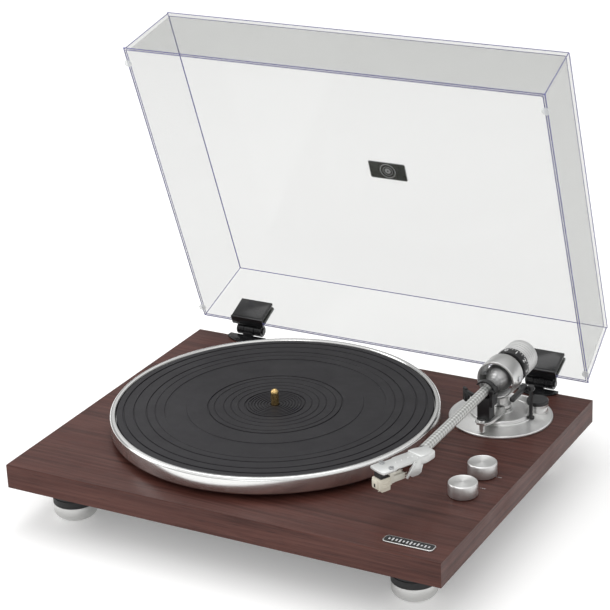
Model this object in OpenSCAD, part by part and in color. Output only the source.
// Belt-drive record player: wooden plinth on four feet, platter, parked tonearm
// and a clear lid held open by two rear hinges.
// The shapes are drawn about the middle of the plinth's top ("the deck"), +X right,
// +Y to the back, +Z up. at_deck() then stands the whole thing on z = 0.

/* [Plinth] */
// Width of the plinth
plinth_w = 420; // [400:1:520]
// Depth of the plinth, front to back
plinth_d = 331.4; // [318:0.1:410]
// Thickness of the plinth board
plinth_t = 22.2; // [20:0.1:32]
// Bevel along the plinth's edges
plinth_bevel = 0.7; // [0.3:0.1:2]
// Thickness of the bottom cover, which lies in a rebate
cover_t = 2; // [1.2:0.1:3]
// Distance from the plinth's sides to the bottom cover
cover_margin = 10; // [6:1:20]

/* [Feet] */
// Height of a foot, plinth to table
foot_h = 36.6; // [30:0.1:44]
// Radius of a foot
foot_r = 19.9; // [17:0.1:24]
// Height of the metal cup round a foot's lower half
foot_cup_h = 15; // [12:0.5:20]
// Distance from the plinth's side to a foot's middle
foot_side = 42.5; // [34:0.5:70]
// Distance from the plinth's front or back to a foot's middle
foot_end = 39.7; // [34:0.1:60]

/* [Platter] */
// Diameter of the platter
platter_d = 298.6; // [280:0.1:304]
// Height of the platter's rim above the deck
platter_top = 20; // [19:0.5:30]
// Height of the visible side of the platter
platter_h = 15; // [13:0.5:17]
// Width of the bright rim round the mat
rim_w = 5.5; // [4:0.1:10]
// Distance from the plinth's left side to the platter's middle
platter_from_left = 176.8; // [165:0.1:190]
// Distance from the plinth's front to the platter's middle
platter_from_front = 170.7; // [160:0.1:180]
// Thickness of the rubber mat
mat_t = 3.2; // [2:0.1:5]
// Depth of the mat below the rim
mat_drop = 0.8; // [0:0.1:1.5]

/* [Spindle and bearing] */
// Diameter of the pin that a record's hole goes over
spindle_d = 7.2; // [6:0.05:8.7]
// Height of the pin's tip above the deck
spindle_top = 34; // [30:0.5:42]
// Diameter of the shaft that runs in the bush
shaft_d = 10; // [8:0.1:14]
// Length of the bearing bush below the deck
bush_l = 30; // [24:0.5:34]
// Diameter of the thrust ball
ball_d = 5; // [3:0.5:6]

/* [Drive] */
// Radius of the ring under the platter that the belt drives
drive_r = 80; // [70:0.5:90]
// Radius of the motor pulley
pulley_r = 7; // [5:0.1:9]
// Distance between the platter's and the motor's axes
motor_reach = 115; // [105:0.5:120]
// Direction of the motor from the platter's middle, in degrees
motor_turn = 135; // [110:1:160]
// Width of the flat belt
belt_w = 5; // [3:0.1:5.5]
// Thickness of the belt
belt_t = 0.8; // [0.6:0.1:1.2]
// Radius of the motor's can
motor_r = 17.5; // [14:0.5:20]

/* [Knobs] */
// Diameter of the two control knobs
knob_d = 25.4; // [22:0.1:32]
// Height of a knob's top above the deck
knob_top = 12.3; // [9:0.1:18]
// Distance from the plinth's right side to the knobs' axes
knob_side = 32.2; // [25:0.1:40]
// Distance from the plinth's front to the front knob's axis
knob_front = 113.7; // [90:0.1:120]
// Distance between the two knobs
knob_pitch = 40.5; // [36:0.1:42]

/* [Tonearm] */
// Distance from the platter's axis to the arm's axis, to the right
arm_right = 180.2; // [174:0.1:186]
// Distance from the platter's axis to the arm's axis, to the back
arm_back = 94.5; // [90:0.1:100]
// Height of the arm tube's axis above the deck
arm_z = 40.3; // [39.8:0.1:50]
// Diameter of the arm tube
tube_d = 9; // [7.5:0.1:10.8]
// Wall of the arm tube
tube_wall = 0.9; // [0.6:0.1:1.5]
// Reach of the tube in front of the arm's axis
tube_reach = 163; // [150:1:166]
// Radius of the base disc
base_r = 47.1; // [44:0.1:50]
// Height of the base disc's inner step
base_step_z = 8; // [7:0.1:9]
// Radius of the gimbal ring
ring_r = 18; // [17.6:0.1:19]
// Length of the gimbal ring
ring_l = 21; // [18:0.5:23]
// Wall of the gimbal ring
ring_wall = 2.2; // [1.6:0.1:2.6]
// Diameter of the counterweight
weight_d = 31.6; // [28:0.1:34]
// Length of the counterweight
weight_l = 21.5; // [18:0.5:24]
// Length of the numbered force ring
dial_l = 9.5; // [7:0.5:11]

/* [Headshell] */
// Angle between the headshell and the arm
shell_turn = 25.5; // [20:0.5:30]
// Width of the headshell at its front edge
shell_w = 18.9; // [17:0.1:22]
// Thickness of the headshell
shell_t = 2.4; // [1.8:0.1:3]
// Length of the headshell
shell_l = 52; // [48:1:54]

/* [Lid] */
// Height of the lid
lid_h = 70.8; // [64:0.1:90]
// Distance from the lid's rim to the plinth's side
lid_side = 4.75; // [3:0.05:8]
// Distance from the lid's rim to the plinth's front and back
lid_end = 3.2; // [2.5:0.1:6]
// Wall of the lid
lid_wall = 3; // [2.4:0.1:4]
// How much narrower the lid's top is, each side
lid_taper_side = 5.6; // [3:0.1:9]
// How much further back the top starts at the front
lid_taper_front = 6.8; // [3:0.1:10]
// How much further forward the top ends at the back
lid_taper_back = 5; // [3:0.1:7]
// Angle to which the lid opens
lid_open = 70.1; // [50:0.1:74]
// Gap below the rim of the closed lid
lid_gap = 2; // [1.9:0.1:4]

/* [Hinges] */
// Distance of each hinge from the lid's middle
hinge_x = 155.5; // [120:0.5:160]
// Distance of the hinge pin behind the plinth
hinge_back = 8.4; // [8:0.1:10]
// Height of the hinge pin above the deck
hinge_up = 5.2; // [5:0.1:7]
// Radius of the hinge knuckles
knuckle_r = 5.8; // [5:0.1:6]
// Diameter of the hinge pin
hinge_pin_d = 4; // [3:0.1:5]

/* [Fits] */
// Radial running clearance of shafts and pins
run_gap = 0.05; // [0.02:0.01:0.08]
// Clearance between pieces that move past each other
free_gap = 0.4; // [0.3:0.05:0.8]

/* [Hidden] */
$fn = 96;

// The frame: the open lid's rear edge is the rearmost point of the whole object.
hinge_y = plinth_d / 2 + hinge_back;
lid_rim_back = plinth_d / 2 - lid_end;
lid_rim_front = -plinth_d / 2 + lid_end;
lid_top_z = lid_gap + lid_h;
top_back_y = lid_rim_back - lid_taper_back - hinge_y;
top_back_z = lid_top_z - hinge_up;
y_rearmost = hinge_y + top_back_y * cos(lid_open) + top_back_z * sin(lid_open);
y_mid = (y_rearmost - plinth_d / 2) / 2;
deck_z = plinth_t + foot_h;

// Places on the deck.
platter_x = -plinth_w / 2 + platter_from_left;
platter_y = -plinth_d / 2 + platter_from_front;
arm_x = platter_x + arm_right;
arm_y = platter_y + arm_back;
knob_x = plinth_w / 2 - knob_side;
power_y = -plinth_d / 2 + knob_front;
speed_y = power_y + knob_pitch;
motor_x = platter_x + motor_reach * cos(motor_turn);
motor_y = platter_y + motor_reach * sin(motor_turn);
foot_x = plinth_w / 2 - foot_side;
foot_y = plinth_d / 2 - foot_end;
LEFT_RIGHT = [-1, 1];

// Platter and drive heights.
platter_r = platter_d / 2;
platter_low = platter_top - platter_h;
mat_top = platter_top - mat_drop;
platter_floor = mat_top - mat_t;
platter_plate = 4;
platter_under = platter_floor - platter_plate;
hub_r = 14;
boss_r = 6;
flange_r = 13;
flange_t = 2;
flange_z = platter_low - flange_t;
housing_top = 2.4;
housing_r = 11;
housing_flange_r = 22;
bush_wall = 3;
bush_r = shaft_d / 2 + run_gap + bush_wall;
belt_mid = (platter_low + platter_under) / 2;
pulley_z0 = 2.8;
pulley_z1 = platter_under - 0.8;
pulley_flange = 1.2;
motor_shaft_d = 2.4;
motor_h = 15;
motor_plate_t = 1.5;
motor_plate_r = motor_r + 7;
motor_screw_reach = motor_r + 3.6;
belt_gap = 0.3;

// Plinth pockets and holes.
board_web = 6.2;
pocket_gap = 1.5;
cover_z = -plinth_t;
pocket_z = cover_z + cover_t;
switch_size = 16;
switch_h = 9;
knob_shaft_d = 6;
board_w = 60;
board_d = 46;
board_t = 1.6;
board_x = knob_x - 50;
board_y = (power_y + speed_y) / 2;
panel_w = 96;
panel_h = 14;
panel_t = 1.5;
panel_x = hinge_x - 81.5;
panel_z = -plinth_t / 2;
socket_pitch = 15;
rca_r = 4.15;
rca_l = 9;
jack_r = 3.2;
stud_d = 4;

// Tonearm places, measured from the arm's axis.
tube_r = tube_d / 2;
pillar_r = 7;
stem_r = 4;
ring_low = arm_z - ring_r;
boss_drop = 1.2;
pillar_top = ring_low - boss_drop - free_gap;
ring_front = -ring_l / 2 - 1.2;
bell_r = 12.5;
bell_front = -25;
bell_back = 4;
gimbal_pin_r = 1.5;
shaft_r = 4;
shaft_back = 49;
dial_front = 17.8;
dial_r = weight_d / 2 + 0.3;
weight_front = dial_front + dial_l + 0.4;
rest_y = -33.5;
rest_w = 12;
rest_l = 12;
rest_gap = 0.65;
rest_top = arm_z - tube_r - rest_gap;
rest_wall = 3;
rest_wall_x = tube_r + 1.4;
bracket_z = base_step_z + 3;
bracket_t = 2.5;
bracket_front = -42;
clip_gap = 3.4;
clip_pin_r = 0.9;
clip_r = tube_r + clip_gap;
clip_pin_x = rest_wall_x + rest_wall / 2;
clip_pin_z = arm_z + 1;
lift_r = 34.5;
lift_x = -8;
lift_y = -20.5;
lift_z = arm_z - tube_r - 1.6;
lift_post_top = 25;
lift_rod_r = 1.5;
lift_from = -134.5;
lift_to = -101;
lever_x = 24.2;
lever_y = -1.8;
lever_z = arm_z - 5.8;
lever_l = 31.2;
lever_r = 2.6;
lever_hub_r = 3.2;
lever_post_x = 30;
lever_post_r = 2.8;
post_foot_z = 3;
skate_x = 28.4;
skate_y = 17.5;
skate_r = 10;
skate_post_r = 7.5;
skate_z = 9.3;
skate_h = 6;

// Headshell places, measured from the arm's axis.
shell_top = arm_z + 2.2;
shell_front_x = -17.7;
shell_front_y = -214.5;
stylus_z = platter_top + 2.8;
guard_z = platter_top + 2.2;

// Hinges.
clip_w = 35;
clip_h = 25;
clip_t = 3;
base_plate_w = 40;
base_plate_t = 1.5;
base_front_reach = 13.7;
flange_h = 16;
knuckle_mid = 11;
barrel_w = 27.5;
wall_lean = atan(lid_taper_back / lid_h);

module at_deck() translate([0, -y_mid, deck_z]) children();

module at_arm() translate([arm_x, arm_y, 0]) children();

module at_platter() translate([platter_x, platter_y, 0]) children();

module at_motor() translate([motor_x, motor_y, 0]) children();

// Turns what is drawn about +Z so that its +Z lies along +Y.
module along_y() rotate([-90, 0, 0]) children();

module along_x() rotate([0, 90, 0]) children();

// The lid and what is fixed to it are drawn closed, then opened about the pin.
module opened() {
    at_deck()
        translate([0, hinge_y, hinge_up])
            rotate([-lid_open, 0, 0])
                translate([0, -hinge_y, -hinge_up])
                    children();
}

module tube(r_out, r_in, z0, z1) {
    translate([0, 0, z0])
        difference() {
            cylinder(r = r_out, h = z1 - z0);
            translate([0, 0, -1])
                cylinder(r = r_in, h = z1 - z0 + 2);
        }
}

module disc(r, z0, z1) translate([0, 0, z0]) cylinder(r = r, h = z1 - z0);

module block(x0, x1, y0, y1, z0, z1) translate([x0, y0, z0]) cube([x1 - x0, y1 - y0, z1 - z0]);

module beveled_board(w, d, t, bevel) {
    rotate([90, 0, 90])
        translate([0, 0, -w / 2])
            linear_extrude(w)
                polygon([[-d / 2, -t], [d / 2, -t], [d / 2, -bevel], [d / 2 - bevel, 0],
                    [-d / 2 + bevel, 0], [-d / 2, -bevel]]);
}

// ---- Plinth ----

module plinth() {
    color("#5a3430")
        at_deck()
            difference() {
                beveled_board(plinth_w, plinth_d, plinth_t, plinth_bevel);
                block(-plinth_w / 2 + cover_margin, plinth_w / 2 - cover_margin,
                    -plinth_d / 2 + cover_margin, plinth_d / 2 - cover_margin, cover_z - 1, pocket_z);
                at_platter() disc(housing_r + free_gap, pocket_z - 1, 1);
                at_motor() disc(motor_r + pocket_gap, pocket_z - 1, 1);
                at_motor() motor_holes(1.25, pocket_z - 1);
                at_motor()
                    block(-motor_screw_reach - 1.6, motor_screw_reach + 1.6, -2.8, 2.8, -2.3, 1);
                for (y = [power_y, speed_y])
                    translate([knob_x, y, 0]) {
                        disc(knob_shaft_d / 2 + 0.6, -board_web - 1, 1);
                        switch_pocket();
                    }
                board_pocket();
                panel_pocket();
            }
}

module switch_pocket() {
    s = switch_size / 2 + pocket_gap;
    block(-s, s, -s, s, pocket_z - 1, -board_web);
}

module board_pocket() {
    w = board_w / 2 + pocket_gap;
    d = board_d / 2 + pocket_gap;
    block(board_x - w, board_x + w, board_y - d, board_y + d, pocket_z - 1, -board_web);
}

module panel_pocket() {
    w = panel_w / 2 - 6;
    block(panel_x - w, panel_x + w, plinth_d / 2 - cover_margin - 3, plinth_d / 2 + 1,
        panel_z - panel_h / 2 + 1.2, panel_z + panel_h / 2 - 1.2);
}

module motor_holes(r, z0) {
    for (s = LEFT_RIGHT)
        translate([s * motor_screw_reach, 0, z0])
            cylinder(r = r, h = 8 - z0);
}

module bottom_cover() {
    g = 0.5;
    color("#2b2b2b")
        at_deck()
            difference() {
                block(-plinth_w / 2 + cover_margin + g, plinth_w / 2 - cover_margin - g,
                    -plinth_d / 2 + cover_margin + g, plinth_d / 2 - cover_margin - g,
                    cover_z, pocket_z);
                at_platter() disc(housing_r + 1, cover_z - 1, pocket_z + 1);
            }
}

module case_screws() {
    x = plinth_w / 2 - cover_margin - 8;
    y = plinth_d / 2 - cover_margin - 8;
    color("#8d8f92")
        at_deck()
            for (p = [[-x, -y], [x, -y], [-x, y], [x, y], [0, -y], [0, y]])
                translate([p[0], p[1], cover_z - 1.4])
                    difference() {
                        cylinder(r = 3.5, h = 1.4);
                        translate([-3, -0.4, -0.1]) cube([6, 0.8, 0.8]);
                    }
}

// ---- Feet ----

foot_cup_wall = 1.2;
foot_round = 8;
pad_t = 1.4;
foot_low = -plinth_t - foot_h;

module at_foot(sx, sy) at_deck() translate([sx * foot_x, sy * foot_y, 0]) children();

// A rubber plug: wide above the cup, stepped down inside it.
module foot_spacer(sx, sy) {
    plug_r = foot_r - foot_cup_wall - 0.2;
    cup_z = foot_low + foot_cup_h;
    color("#17171a")
        at_foot(sx, sy) {
            disc(foot_r, cup_z, -plinth_t);
            disc(plug_r, foot_low + foot_round, cup_z);
        }
}

module foot_cup(sx, sy) {
    color("#b9bbbd")
        at_foot(sx, sy)
            translate([0, 0, foot_low])
                rotate_extrude()
                    difference() {
                        foot_outline(foot_r, pad_t * 0.5, foot_cup_h);
                        translate([-1, foot_round])
                            square([foot_r - foot_cup_wall + 1, foot_cup_h]);
                    }
}

module foot_outline(r, z0, z1) {
    union() {
        translate([0, z0]) square([r - foot_round, z1 - z0]);
        translate([0, z0 + foot_round]) square([r, z1 - z0 - foot_round]);
        intersection() {
            translate([r - foot_round, z0 + foot_round]) circle(foot_round);
            translate([0, z0]) square([r, z1 - z0]);
        }
    }
}

module foot_pads() {
    color("#1c1c1e")
        for (sx = LEFT_RIGHT, sy = LEFT_RIGHT)
            at_foot(sx, sy)
                disc(foot_r - foot_round, foot_low, foot_low + pad_t * 0.5);
}

// ---- Platter, spindle and bearing ----

module platter() {
    lip_z = platter_top - 1.6;
    inner_r = platter_r - rim_w;
    color("#c9cbcc")
        at_deck() at_platter()
            rotate_extrude($fn = 180)
                difference() {
                    polygon([[0, platter_low], [platter_r - 0.6, platter_low],
                        [platter_r, platter_low + 0.6], [platter_r, lip_z],
                        [platter_r - 1.6, platter_top], [inner_r + 0.7, platter_top],
                        [inner_r, platter_floor], [0, platter_floor]]);
                    translate([-1, -1]) square([boss_r + run_gap + 1, platter_top + 2]);
                    translate([hub_r, platter_low - 1])
                        square([drive_r - 3 - hub_r, platter_under - platter_low + 1]);
                    translate([drive_r, platter_low - 1])
                        square([platter_r - 8 - drive_r, platter_under - platter_low + 1]);
                }
}

// The rubber mat: shallow rings, and a wide channel for the groove area.
module mat() {
    r = platter_r - rim_w - 0.3;
    bore_r = spindle_d / 2 + 0.7;
    groove = 0.5;
    color("#232326")
        at_deck() at_platter()
            rotate_extrude($fn = 180)
                difference() {
                    translate([bore_r, platter_floor])
                        square([r - bore_r, mat_t]);
                    for (ring = [136, 127, 115.5, 60, 54.5, 46, 39.5, 33, 17.5, 12.5])
                        translate([ring, mat_top - groove]) square([0.8, 1]);
                    translate([80, mat_top - 0.8]) square([20, 2]);
                    translate([22, mat_top - 0.8]) square([5, 2]);
                }
}

module spindle() {
    tip = spindle_d / 2;
    color("#b8924a")
        at_deck() at_platter() {
            disc(shaft_d / 2, -bush_l, flange_z + 0.5);
            disc(flange_r, flange_z, platter_low);
            disc(boss_r, platter_low - 0.5, platter_floor);
            disc(spindle_d / 2, platter_floor - 0.5, spindle_top - tip);
            translate([0, 0, spindle_top - tip])
                rotate_extrude()
                    intersection() {
                        circle(tip);
                        square(tip);
                    }
        }
}

module bearing_housing() {
    floor_t = 2;
    low = -bush_l - ball_d - floor_t;
    color("#9a9c9e")
        at_deck() at_platter()
            difference() {
                union() {
                    disc(housing_r, low, 1);
                    disc(housing_flange_r, 0, housing_top);
                }
                disc(bush_r, -bush_l, housing_top + 1);
                disc(ball_d / 2 + 0.6, -bush_l - ball_d, -bush_l + 1);
            }
}

module bearing_bush() {
    color("#a9763c")
        at_deck() at_platter()
            tube(bush_r, shaft_d / 2 + run_gap, -bush_l, housing_top);
}

module thrust_ball() {
    color("#cfd2d4")
        at_deck() at_platter()
            translate([0, 0, -bush_l - ball_d / 2])
                sphere(d = ball_d);
}

// ---- Motor and belt ----

module motor_plate() {
    color("#8b8e91")
        at_deck() at_motor()
            difference() {
                disc(motor_plate_r, 0, motor_plate_t);
                disc(4, -1, motor_plate_t + 1);
                motor_holes(1.6, -1);
            }
}

module motor_body() {
    color("#b5b7b9")
        at_deck() at_motor() {
            difference() {
                union() {
                    disc(motor_r, -motor_h, 0);
                    disc(3.5, -0.5, 1.8);
                }
                disc(motor_shaft_d / 2 + run_gap, -5, 2);
            }
            motor_ears();
        }
}

module motor_ears() {
    for (s = LEFT_RIGHT)
        translate([s * motor_screw_reach, 0, 0]) {
            disc(1.2, -4, motor_plate_t + 0.4);
            disc(2.2, motor_plate_t, motor_plate_t + 1.2);
            translate([-s * (motor_screw_reach - motor_r + 3.2) / 2, 0, -1])
                cube([motor_screw_reach - motor_r + 4, 5, 2], center = true);
        }
}

// Flanged, crowned pulley, with the motor shaft pressed into it.
module motor_pulley() {
    color("#b79a5c")
        at_deck() at_motor() {
            disc(pulley_r, pulley_z0 + 1, pulley_z1);
            disc(pulley_r + 0.9, pulley_z0, pulley_z0 + pulley_flange);
            disc(motor_shaft_d / 2, -4.6, pulley_z0 + 0.5);
        }
}

module belt_outline(grow) {
    hull() {
        circle(drive_r + belt_gap + grow, $fn = 128);
        translate([motor_reach, 0]) circle(pulley_r + belt_gap + grow, $fn = 48);
    }
}

module drive_belt() {
    color("#141416")
        at_deck() at_platter()
            rotate([0, 0, motor_turn])
                translate([0, 0, belt_mid - belt_w / 2])
                    linear_extrude(belt_w)
                        difference() {
                            belt_outline(belt_t);
                            belt_outline(0);
                        }
}

// ---- Knobs, switches and board ----

knob_low = 0.5;

module knob(y) {
    r = knob_d / 2;
    bevel = 1.1;
    color("#c2c4c6")
        at_deck()
            translate([knob_x, y, 0]) {
                rotate_extrude()
                    polygon([[0, knob_low], [r, knob_low], [r, knob_top - bevel],
                        [r - bevel, knob_top], [r - 3, knob_top], [r - 4, knob_top - 0.35],
                        [0, knob_top - 0.35]]);
                disc(knob_shaft_d / 2, -board_web + 0.3, knob_low + 0.5);
            }
}

module power_knob() knob(power_y);

module speed_knob() knob(speed_y);

module rotary_switches() {
    s = switch_size / 2;
    color("#2d4a3a")
        at_deck()
            for (y = [power_y, speed_y])
                translate([knob_x, y, 0]) {
                    block(-s, s, -s, s, -board_web - switch_h, -board_web);
                    for (i = [-1, 0, 1])
                        translate([i * 4, 0, -board_web - switch_h - 2]) cylinder(r = 0.8, h = 2.2);
                }
}

module circuit_board() {
    z = -board_web - 3;
    color("#1f5a3c")
        at_deck()
            translate([board_x, board_y, 0]) {
                block(-board_w / 2, board_w / 2, -board_d / 2, board_d / 2, z - board_t, z);
                for (sx = LEFT_RIGHT, sy = LEFT_RIGHT)
                    translate([sx * (board_w / 2 - 4), sy * (board_d / 2 - 4), z - 0.1])
                        cylinder(r = 2.5, h = 3.1);
                for (i = [0, 1, 2])
                    translate([-20 + i * 13, 10, z - board_t - 6]) cylinder(r = 4, h = 6.1);
                block(-22, -8, -16, -4, z - board_t - 2.2, z - board_t + 0.1);
                block(2, 22, -17, -3, z - board_t - 5, z - board_t + 0.1);
            }
}

module front_badge() {
    l = 45;
    w = 11;
    color("#151517")
        at_deck()
            translate([plinth_w / 2 - 36.5, -plinth_d / 2 + 18.7, 0])
                linear_extrude(1)
                    union() {
                        square([l - 7, w], center = true);
                        square([l, w - 7], center = true);
                        for (sx = LEFT_RIGHT, sy = LEFT_RIGHT)
                            translate([sx * (l / 2 - 3.5), sy * (w / 2 - 3.5)]) circle(3.5);
                    }
}

// ---- Rear terminals ----

rear_y = plinth_d / 2;
SOCKETS = [-26, -26 + socket_pitch];
ground_x = 6;
jack_x = 30;

module at_panel(x) {
    at_deck()
        translate([panel_x + x, rear_y, panel_z])
            along_y()
                children();
}

// Plate with the ground stud riveted into it.
module terminal_panel() {
    color("#1b1b1d") {
        at_panel(ground_x) disc(stud_d / 2, -4, panel_t + 8.5);
        difference() {
            at_panel(0)
                translate([-panel_w / 2, -panel_h / 2, 0]) cube([panel_w, panel_h, panel_t]);
            for (x = SOCKETS) at_panel(x) disc(2.4, -1, panel_t + 1);
            at_panel(jack_x) disc(5.2, -1, panel_t + 1);
        }
    }
}

module rca_sockets() {
    color("#c9a548")
        for (x = SOCKETS)
            at_panel(x) {
                difference() {
                    union() {
                        disc(5.4, panel_t, panel_t + 1.2);
                        disc(rca_r, panel_t + 1, panel_t + rca_l);
                        disc(2.3, -5, panel_t + 1);
                    }
                    disc(1.65, panel_t, panel_t + rca_l + 1);
                }
            }
}

module dc_jack() {
    color("#202022")
        at_panel(jack_x) {
            difference() {
                union() {
                    disc(5, -8, panel_t + 1);
                    disc(6.2, panel_t, panel_t + 1.4);
                }
                disc(jack_r, -6.5, panel_t + 3);
            }
            disc(1, -7, panel_t);
        }
}

module ground_nut() {
    color("#d0d2d4")
        at_panel(ground_x)
            difference() {
                union() {
                    disc(5, panel_t + free_gap, panel_t + 6);
                    disc(3.6, panel_t + 5.9, panel_t + 7.5);
                }
                disc(stud_d / 2 + run_gap, panel_t, panel_t + 9);
            }
}

// ---- Tonearm: base, rest and lift ----

module arm_base() {
    lip = 1.8;
    color("#c4c6c8")
        at_deck() at_arm()
            difference() {
                rotate_extrude($fn = 144)
                    polygon([[0, 0], [base_r, 0], [base_r, 1.2], [base_r - 0.8, lip],
                        [30, 5.4], [base_step_z + 20.4, 5.4], [base_step_z + 19.6, base_step_z],
                        [0, base_step_z]]);
                disc(stem_r + 0.5, -1, base_step_z + 1);
                translate([lift_x, lift_y, 0]) disc(2.5, 1, base_step_z + 1);
                translate([skate_x, skate_y, 0]) disc(skate_post_r, post_foot_z, base_step_z + 1);
                translate([lever_post_x, lever_y, 0])
                    disc(lever_post_r, post_foot_z, base_step_z + 1);
            }
}

module arm_pillar() {
    color("#bfc1c3")
        at_deck() at_arm() {
            tube(pillar_r, stem_r + run_gap, base_step_z, pillar_top);
            tube(pillar_r + 2.5, stem_r + run_gap, base_step_z, base_step_z + 2);
        }
}

// Bracket from the pillar, a short front post, and the block with its outer wall.
module arm_rest() {
    half = rest_w / 2;
    color("#1a1a1c")
        at_deck() at_arm() {
            block(-half, half, rest_y - rest_l / 2, rest_y + rest_l / 2, bracket_z + bracket_t,
                rest_top);
            block(rest_wall_x, rest_wall_x + rest_wall, rest_y - rest_l / 2, rest_y + rest_l / 2,
                rest_top - 8, clip_pin_z - 3);
            block(half - 0.5, rest_wall_x + 1, rest_y - rest_l / 2, rest_y + rest_l / 2,
                rest_top - 8, rest_top - 2);
            rest_ears();
            rest_bracket();
        }
}

module rest_ears() {
    for (s = LEFT_RIGHT)
        translate([clip_pin_x, rest_y + s * (rest_l / 2 - 1.5) - 1.5, clip_pin_z])
            along_y()
                difference() {
                    union() {
                        cylinder(r = rest_wall / 2 + 0.7, h = 3);
                        translate([-rest_wall / 2, 0, 0]) cube([rest_wall, 4, 3]);
                    }
                    translate([0, 0, -1]) cylinder(r = clip_pin_r + run_gap, h = 5);
                }
}

module rest_bracket() {
    difference() {
        union() {
            block(-4, 4, bracket_front, -pillar_r + 1, bracket_z, bracket_z + bracket_t);
            translate([0, bracket_front, 0]) disc(4, bracket_z, bracket_z + bracket_t);
            translate([0, rest_y, 0]) disc(8.5, bracket_z, bracket_z + bracket_t);
            disc(pillar_r + 2, bracket_z, bracket_z + bracket_t);
        }
        disc(pillar_r, bracket_z - 1, bracket_z + bracket_t + 1);
    }
    translate([0, bracket_front, 0]) disc(2.5, 3.5, bracket_z + 0.5);
}

// A hook that swings over the tube, on a pin between the rest's two ears.
module arm_clip() {
    w = rest_l - 6 - 2 * free_gap;
    color("#1a1a1c")
        at_deck() at_arm() {
            translate([0, rest_y - w / 2, 0])
                along_y() {
                    clip_hook(w);
                    translate([clip_pin_x, -clip_pin_z, 0]) cylinder(r = rest_wall / 2 + 0.8, h = w);
                }
            translate([clip_pin_x, rest_y - rest_l / 2 + 0.4, clip_pin_z])
                along_y() cylinder(r = clip_pin_r, h = rest_l - 0.8);
        }
}

// The left side ends above the tube, so the arm can leave under it.
module clip_hook(w) {
    difference() {
        translate([0, -arm_z, 0]) cylinder(r = clip_r + 1.6, h = w);
        translate([0, -arm_z, -1]) cylinder(r = clip_r, h = w + 2);
        translate([-1, -clip_pin_z, -1]) cube([20, 40, w + 2]);
        translate([-20, -arm_z - tube_r - free_gap, -1]) cube([20, 40, w + 2]);
    }
}

module lift_cylinder() {
    color("#a8aaac")
        at_deck() at_arm()
            translate([lift_x, lift_y, 0])
                tube(3.6, lift_rod_r + run_gap, base_step_z, lift_post_top);
}

// Rod, cross bar and the curved rail that lifts the arm.
module lift_platform() {
    rail_t = 2.4;
    rail_h = 3.2;
    color("#1b1b1d")
        at_deck() at_arm() {
            translate([lift_x, lift_y, 0]) {
                disc(lift_rod_r, base_step_z + 2, lift_z - rail_h + 0.5);
                disc(4, lift_z - rail_h - 2, lift_z - rail_h);
            }
            rail(lift_z - rail_h, lift_z, lift_from, lift_to, rail_t);
            rail(lift_z - 11.5, lift_z + 0.8, lift_from - 3, lift_from + 6, rail_t);
            lift_bar(lift_z - rail_h - 2, rail_t);
        }
}

module rail(z0, z1, a0, a1, t) {
    translate([0, 0, z0])
        intersection() {
            tube(lift_r + t / 2, lift_r - t / 2, 0, z1 - z0);
            linear_extrude(z1 - z0)
                polygon([[0, 0], for (i = [0 : 6]) 60 * [cos(a0 + i * (a1 - a0) / 6),
                    sin(a0 + i * (a1 - a0) / 6)]]);
        }
}

module lift_bar(z, t) {
    turn = atan2(lift_y, lift_x) + 4;
    reach = norm([lift_x, lift_y]);
    rotate([0, 0, turn])
        translate([reach - 1, -2, z])
            cube([lift_r + t / 2 - reach + 1, 4, 2.4]);
}

module lever_post() {
    color("#c4c6c8")
        at_deck() at_arm()
            translate([lever_post_x, lever_y, 0])
                difference() {
                    disc(lever_post_r, post_foot_z, lever_z + 4);
                    translate([-5, 0, lever_z]) along_x() cylinder(r = 1.2 + run_gap, h = 10);
                }
}

module cue_lever() {
    color("#19191b")
        at_deck() at_arm()
            translate([lever_x, lever_y, lever_z]) {
                along_y()
                    translate([0, 0, -lever_l])
                        rotate_extrude()
                            round_nosed(lever_r, lever_l);
                translate([-lever_r - 0.4, 0, 0])
                    along_x() cylinder(r = lever_hub_r, h = lever_r + 1.2);
                along_x() cylinder(r = 1.2, h = lever_post_x - lever_x + 3.4);
            }
}

// Half section of a rod with a domed lower end.
module round_nosed(r, l) {
    translate([0, r]) square([r, l - r]);
    intersection() {
        translate([0, r]) circle(r);
        square(r);
    }
}

module antiskate_post() {
    color("#c4c6c8")
        at_deck() at_arm()
            translate([skate_x, skate_y, 0])
                difference() {
                    disc(skate_post_r, post_foot_z, skate_z - free_gap);
                    disc(2 + run_gap, 4, skate_z);
                }
}

module antiskate_knob() {
    color("#161618")
        at_deck() at_arm()
            translate([skate_x, skate_y, 0]) {
                rotate_extrude()
                    polygon([[0, skate_z], [skate_r, skate_z], [skate_r, skate_z + skate_h - 1],
                        [skate_r - 1, skate_z + skate_h], [0, skate_z + skate_h]]);
                disc(2, 4.5, skate_z + 0.5);
            }
}

// ---- Tonearm: gimbal, tube and weight ----

module gimbal_ring() {
    inner = ring_r - ring_wall;
    color("#c8cacc")
        at_deck() at_arm()
            difference() {
                union() {
                    translate([0, ring_front, arm_z]) along_y() cylinder(r = ring_r, h = ring_l);
                    disc(pillar_r, ring_low - boss_drop, ring_low + 4);
                    disc(stem_r, base_step_z + 0.4, ring_low);
                }
                translate([0, ring_front - 1, arm_z]) along_y() cylinder(r = inner, h = ring_l + 2);
                translate([-ring_r - 1, 0, arm_z])
                    along_x() cylinder(r = gimbal_pin_r, h = 2 * ring_r + 2);
            }
}

module gimbal_pivots() {
    color("#d6d8da")
        at_deck() at_arm()
            for (s = LEFT_RIGHT)
                translate([0, 0, arm_z])
                    rotate([0, s * 90, 0]) {
                        disc(gimbal_pin_r, bell_r - 2.5, ring_r + 0.4);
                        disc(gimbal_pin_r + 0.9, ring_r, ring_r + 0.9);
                    }
}

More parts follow.
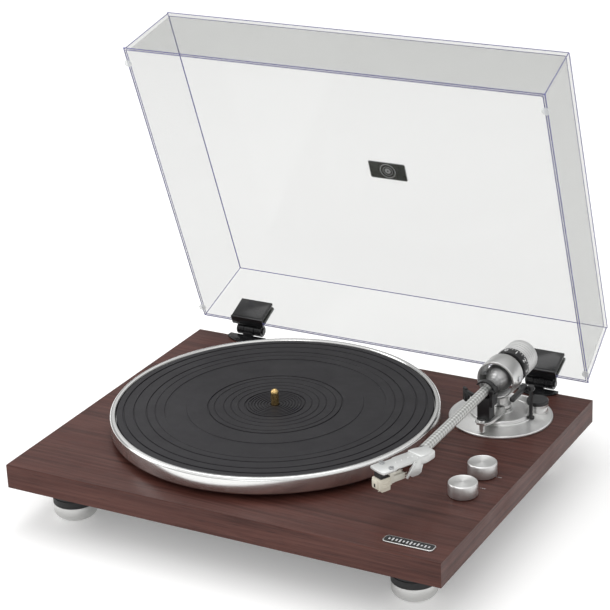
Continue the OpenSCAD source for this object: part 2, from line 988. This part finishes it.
// The flared housing that carries the tube inside the ring.
module arm_bell() {
    color("#aeb0b3")
        at_deck() at_arm()
            difference() {
                translate([0, 0, arm_z])
                    along_y()
                        rotate_extrude()
                            polygon([[tube_r + run_gap, bell_front], [6.3, bell_front],
                                [6.3, bell_front + 1.6], [5.5, bell_front + 2.2], [6, -19],
                                [7, -15.5], [8.7, -12], [10.8, -8.6], [12, -5.4], [bell_r, -2.4],
                                [bell_r, bell_back], [tube_r + run_gap, bell_back]]);
                for (s = LEFT_RIGHT)
                    translate([0, 0, arm_z])
                        rotate([0, s * 90, 0])
                            disc(gimbal_pin_r + run_gap, bell_r - 3, bell_r + 2);
            }
}

module arm_tube() {
    color("#d3d5d6")
        at_deck() at_arm()
            translate([0, 0, arm_z])
                along_y()
                    tube(tube_r, tube_r - tube_wall, -tube_reach, -1);
}

module rear_shaft() {
    color("#a5a7aa")
        at_deck() at_arm()
            translate([0, 0, arm_z])
                along_y() {
                    disc(shaft_r, bell_back, shaft_back);
                    disc(shaft_r + 2.6, bell_back, bell_back + 2.5);
                }
}

module counterweight() {
    color("#c3c4c6")
        at_deck() at_arm()
            translate([0, 0, arm_z])
                along_y()
                    difference() {
                        rotate_extrude()
                            polygon([[0, weight_front], [weight_d / 2, weight_front],
                                [weight_d / 2, weight_front + weight_l - 1.4],
                                [weight_d / 2 - 1.4, weight_front + weight_l],
                                [0, weight_front + weight_l]]);
                        disc(shaft_r + run_gap, weight_front - 1, weight_front + weight_l + 1);
                        disc(weight_d / 2 - 4.5, weight_front + weight_l - 5,
                            weight_front + weight_l + 1);
                        disc(weight_d / 2 - 6.2, weight_front - 1, weight_front + 9);
                    }
}

module force_dial() {
    color("#18181a")
        at_deck() at_arm()
            translate([0, 0, arm_z])
                along_y()
                    difference() {
                        rotate_extrude()
                            polygon([[0, dial_front], [dial_r - 1.6, dial_front],
                                [dial_r, dial_front + 1.6], [dial_r, dial_front + dial_l],
                                [0, dial_front + dial_l]]);
                        disc(shaft_r + 1 + run_gap, dial_front - 1, dial_front + dial_l + 1);
                        disc(dial_r - 3.2, dial_front + 2.5, dial_front + dial_l + 1);
                    }
}

// ---- Headshell and cartridge ----

module at_shell() {
    at_deck() at_arm()
        translate([shell_front_x, shell_front_y, 0])
            rotate([0, 0, -shell_turn])
                children();
}

module headshell() {
    low = shell_top - shell_t;
    w = shell_w / 2;
    color("#d2d4d4") {
        at_shell()
            difference() {
                translate([0, 0, low])
                    linear_extrude(shell_t)
                        polygon([[-w, 0], [w, 0], [w, 14], [w - 2.6, 26], [w - 1.6, shell_l - 4],
                            [w - 4, shell_l + 4], [-w + 8, shell_l + 4], [-w + 4.5, shell_l - 8],
                            [-w + 0.4, 3]]);
                for (v = [22.5, 31, 39.5])
                    translate([0.4, v, 0]) disc(1.5, low - 1, shell_top + 1);
                for (u = [-6.35, 6.35])
                    translate([u, 10.5, 0]) disc(1.35, low - 1, shell_top + 1);
            }
        shell_sides(low);
        shell_collar();
        finger_lift(low);
    }
}

// Stiffening flanges along both long edges.
module shell_sides(low) {
    w = shell_w / 2;
    at_shell() {
        translate([w - 1.5, 20, low - 2.4]) rotate([0, 0, 3]) cube([1.5, 30, 3]);
        translate([-w + 1.3, 16, low - 2.4]) rotate([0, 0, -4.5]) cube([1.5, 28, 3]);
    }
}

// Socket that the tube is glued into.
module shell_collar() {
    at_deck() at_arm()
        translate([0, 0, arm_z])
            along_y()
                difference() {
                    union() {
                        disc(tube_r + 1.2, -tube_reach - 1, -tube_reach + 7);
                        disc(tube_r + 0.2, -tube_reach - 7, -tube_reach);
                    }
                    disc(tube_r, -tube_reach, -tube_reach + 8);
                }
}

// A thin tab that hangs down from the right edge.
module finger_lift(low) {
    at_shell()
        translate([shell_w / 2 - 3, 26.5, low + 0.5])
            along_x()
                linear_extrude(1.3)
                    union() {
                        square([6.5, 13]);
                        translate([6.5, 4.5]) circle(4.5);
                        translate([6.5, 8.5]) circle(4.5);
                        translate([6.5, 4.5]) square([4.5, 4]);
                    }
}

module shell_screws() {
    low = shell_top - shell_t;
    color("#e3e3e1")
        at_shell()
            for (u = [-6.35, 6.35])
                translate([u, 10.5, 0]) {
                    disc(1.2, low - 3, shell_top);
                    difference() {
                        disc(2.3, shell_top, shell_top + 1.3);
                        translate([-2.5, -0.3, shell_top + 0.7]) cube([5, 0.6, 1]);
                    }
                }
}

cart_top = shell_top - shell_t;
cart_low = cart_top - 12.5;
cart_front = 2;

module cartridge() {
    color("#d9d4c6")
        at_shell()
            difference() {
                union() {
                    block(-9.2, 9.2, 7.3, 13.7, cart_top - 2.8, cart_top);
                    block(-5.5, 5.5, cart_front, 14.5, cart_low, cart_top - 2.7);
                    block(-5, 5, 14, 25, cart_low, cart_low + 5.6);
                    for (u = [-3, 3], z = [1.6, 4])
                        translate([u, 24.5, cart_low + z]) along_y() cylinder(r = 0.5, h = 4.5);
                }
                for (u = [-6.35, 6.35])
                    translate([u, 10.5, 0]) disc(1.2, cart_top - 4, cart_top + 1);
            }
}

// Stylus holder with its guard plates, the cantilever and the tip.
module stylus() {
    color("#e2d9c4")
        at_shell() {
            block(-5.5, 5.5, -1, cart_front, guard_z, cart_top - 2.8);
            for (s = LEFT_RIGHT)
                translate([s * 4.9, 0, 0]) block(-0.6, 0.6, cart_front - 0.1, 12, guard_z, cart_low);
            translate([0, 7.5, cart_low - 0.6])
                rotate([180 - 58, 0, 0]) cylinder(r = 0.4, h = 7.5);
            block(-4.5, 4.5, 6.5, 11.5, cart_low - 1.2, cart_low);
            translate([0, 1.35, stylus_z]) cylinder(r1 = 0.15, r2 = 0.4, h = 2.2, $fn = 24);
        }
}

// ---- Lid ----

lid_round = 4;
lid_edge = 1.6;
slice_t = 0.01;

// Four posts at the corners of a slice of the lid, drawn in by a margin.
module lid_slice(z, inset, h, r) {
    f = (z - lid_gap) / lid_h;
    x = plinth_w / 2 - lid_side - lid_taper_side * f - inset;
    y0 = lid_rim_front + lid_taper_front * f + inset;
    y1 = lid_rim_back - lid_taper_back * f - inset;
    for (px = [-x + r, x - r], py = [y0 + r, y1 - r])
        translate([px, py, z]) cylinder(r = r, h = h, $fn = 32);
}

module lid() {
    inner_top = lid_top_z - lid_wall;
    color("#b9c4c4", 0.35)
        opened()
            difference() {
                hull() {
                    lid_slice(lid_gap, 0, slice_t, lid_round);
                    lid_slice(lid_top_z - lid_edge, 0, slice_t, lid_round);
                    lid_slice(lid_top_z - slice_t, lid_edge * 0.7, slice_t, lid_round - 1);
                }
                hull() {
                    lid_slice(lid_gap - 1, lid_wall, slice_t, lid_round - 1.5);
                    lid_slice(inner_top - slice_t, lid_wall, slice_t, lid_round - 1.5);
                }
            }
}

module lid_bumpers() {
    x = plinth_w / 2 - lid_side - lid_wall / 2;
    bumper_h = lid_gap - 0.3;
    color("#e4e6e6", 0.6)
        opened()
            for (p = [[-x, lid_rim_front + 17], [x, lid_rim_front + 17], [-x, lid_rim_back - 12],
                [x, lid_rim_back - 12]])
                translate([p[0], p[1], lid_gap - bumper_h]) cylinder(r = 3.4, h = bumper_h);
}

// Plate on the outside of the lid's top, with room for an emblem.
module lid_badge() {
    w = 37;
    d = 18.5;
    back = 160.3;
    r = 1.5;
    color("#131315")
        opened()
            translate([-1.4, lid_rim_back - back, lid_top_z])
                linear_extrude(0.9)
                    union() {
                        square([w - 2 * r, d], center = true);
                        square([w, d - 2 * r], center = true);
                        for (sx = LEFT_RIGHT, sy = LEFT_RIGHT)
                            translate([sx * (w / 2 - r), sy * (d / 2 - r)]) circle(r);
                    }
}

// ---- Hinges ----

module hinge_base(x) {
    arc_r = (pow(base_plate_w / 2, 2) + 100) / 20;
    half = base_plate_w / 2;
    difference() {
        union() {
            translate([x, 0, 0])
                linear_extrude(base_plate_t)
                    intersection() {
                        translate([0, rear_y - base_front_reach + arc_r]) circle(arc_r);
                        translate([-half, rear_y - 30]) square([base_plate_w, 32]);
                    }
            block(x - half, x + half, rear_y, rear_y + 2, -flange_h, base_plate_t);
            block(x - knuckle_mid / 2, x + knuckle_mid / 2, rear_y + 1, hinge_y,
                hinge_up - knuckle_r, hinge_up);
            translate([x - knuckle_mid / 2, hinge_y, hinge_up])
                along_x() cylinder(r = knuckle_r, h = knuckle_mid);
        }
        translate([x - barrel_w, hinge_y, hinge_up])
            along_x() cylinder(r = hinge_pin_d / 2 + run_gap, h = 2 * barrel_w);
        for (s = LEFT_RIGHT)
            translate([x + s * 13, rear_y - 1, -10])
                along_y() cylinder(r = 1.7, h = 5);
    }
}

module hinge_bases() {
    color("#1a1a1c")
        at_deck()
            for (s = LEFT_RIGHT) hinge_base(s * hinge_x);
}

module hinge_pins() {
    color("#b9bbbd")
        at_deck()
            for (s = LEFT_RIGHT)
                translate([s * hinge_x - barrel_w / 2 - 0.8, hinge_y, hinge_up])
                    along_x() {
                        cylinder(r = hinge_pin_d / 2, h = barrel_w + 1.6);
                        cylinder(r = hinge_pin_d / 2 + 0.9, h = 0.7);
                    }
}

module hinge_screws() {
    color("#a9abad")
        at_deck()
            for (s = LEFT_RIGHT, t = LEFT_RIGHT)
                translate([s * hinge_x + t * 13, rear_y, -10])
                    along_y() {
                        cylinder(r = 1.6, h = 2.2);
                        translate([0, 0, 2]) cylinder(r = 3.2, h = 1.5);
                    }
}

// Outer leaf behind the lid's rear wall, with two arms down to the barrel.
module hinge_clip(x) {
    half = clip_w / 2;
    back = lid_rim_back;
    arm_w = (barrel_w - knuckle_mid) / 2 - free_gap;
    low = lid_gap + 1;
    difference() {
        union() {
            translate([x - half, back, lid_gap + slice_t])
                rotate([wall_lean, 0, 0])
                    translate([0, 0, 1]) cube([clip_w, clip_t, clip_h]);
            for (s = LEFT_RIGHT)
                translate([x + s * (knuckle_mid / 2 + free_gap + arm_w / 2), 0, 0]) {
                    translate([-arm_w / 2, hinge_y, hinge_up])
                        along_x() cylinder(r = knuckle_r, h = arm_w);
                    rotate([90, 0, 90])
                        translate([0, 0, -arm_w / 2])
                            linear_extrude(arm_w)
                                polygon([[back + 1, low + 0.6], [hinge_y - knuckle_r, low + 0.6],
                                    [hinge_y - 1, hinge_up], [hinge_y + 1, hinge_up + knuckle_r - 0.4],
                                    [back + clip_t, low + 16], [back + 1, low + 16]]);
                }
        }
        translate([x - barrel_w, hinge_y, hinge_up])
            along_x() cylinder(r = hinge_pin_d / 2 + run_gap, h = 2 * barrel_w);
    }
}

module hinge_clips() {
    color("#1a1a1c")
        opened()
            for (s = LEFT_RIGHT) hinge_clip(s * hinge_x);
}

// Inner leaves, which clamp the lid's rear wall from inside.
module hinge_plates() {
    half = clip_w / 2;
    color("#1a1a1c")
        opened()
            for (s = LEFT_RIGHT)
                translate([s * hinge_x - half, lid_rim_back - lid_wall, lid_gap + slice_t])
                    rotate([wall_lean, 0, 0])
                        translate([0, -clip_t, 1])
                            cube([clip_w, clip_t, clip_h]);
}

plinth();
bottom_cover();
case_screws();
foot_spacer(-1, -1);  // foot_spacer_front_left
foot_spacer(1, -1);  // foot_spacer_front_right
foot_spacer(-1, 1);  // foot_spacer_rear_left
foot_spacer(1, 1);  // foot_spacer_rear_right
foot_cup(-1, -1);  // foot_cup_front_left
foot_cup(1, -1);  // foot_cup_front_right
foot_cup(-1, 1);  // foot_cup_rear_left
foot_cup(1, 1);  // foot_cup_rear_right
foot_pads();
bearing_housing();
bearing_bush();
thrust_ball();
spindle();
platter();
mat();
motor_body();
motor_plate();
motor_pulley();
drive_belt();
power_knob();
speed_knob();
rotary_switches();
circuit_board();
front_badge();
terminal_panel();
rca_sockets();
dc_jack();
ground_nut();
arm_base();
arm_pillar();
arm_rest();
arm_clip();
lift_cylinder();
lift_platform();
lever_post();
cue_lever();
antiskate_post();
antiskate_knob();
gimbal_ring();
gimbal_pivots();
arm_bell();
arm_tube();
headshell();
shell_screws();
cartridge();
stylus();
rear_shaft();
counterweight();
force_dial();
lid();
lid_bumpers();
lid_badge();
hinge_bases();
hinge_clips();
hinge_plates();
hinge_pins();
hinge_screws();
